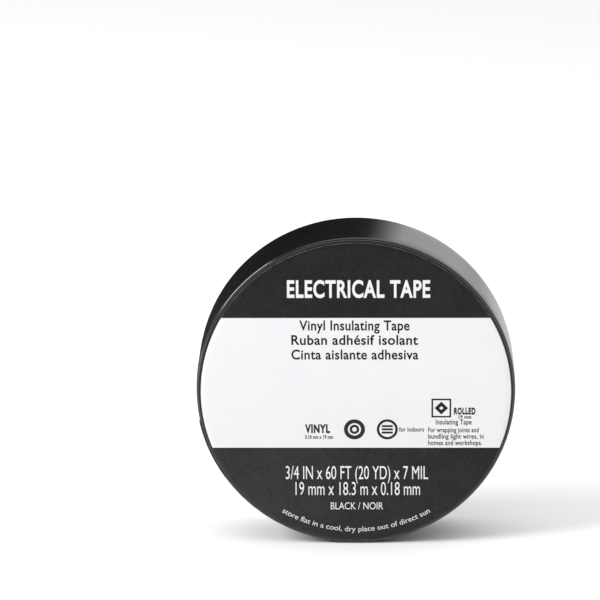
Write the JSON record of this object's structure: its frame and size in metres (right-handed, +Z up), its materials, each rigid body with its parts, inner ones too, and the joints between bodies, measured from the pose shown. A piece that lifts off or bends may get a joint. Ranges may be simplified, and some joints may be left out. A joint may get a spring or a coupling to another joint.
{
  "type": "electrical tape roll",
  "caption": "Roll of black PVC insulating tape on a paperboard core, with a loose end that peels up and a printed paper disc closing one side of the core.",
  "frame": {"origin": "centre of the core, half way through the roll's width", "axes": "+Y along the roll's axis and out of the open end of the core, so the printed disc faces -Y; +Z up with the roll standing on its rim; +X to the right as the disc is read"},
  "size_m": [0.0757, 0.0192, 0.0759],
  "materials": {
    "tape_film": "satin black plasticised PVC film",
    "tape_adhesive": "tacky black rubber adhesive",
    "core_board": "grey-brown paperboard",
    "label_paper": "coated paper printed black and white",
    "label_glue": "clear permanent glue"
  },
  "bodies": {
    "roll": {"core_liner": "core_board", "core_ply_1": "core_board", "core_ply_2": "core_board", "core_wrap": "core_board", "wound_tape": "tape_film", "outer_turn_film": "tape_film", "outer_turn_adhesive": "tape_adhesive", "label_disc": "label_paper", "label_glue": "label_glue"},
    "free_end": {"free_end_film": "tape_film", "free_end_adhesive": "tape_adhesive"}
  },
  "joints": [
    {"name": "free_end_peel", "type": "hinge", "parent": "roll", "child": "free_end", "pos_m": [-0.03119, 0, -0.0218], "axis": [0, -1, 0], "range_deg": [0, 150]}
  ]
}
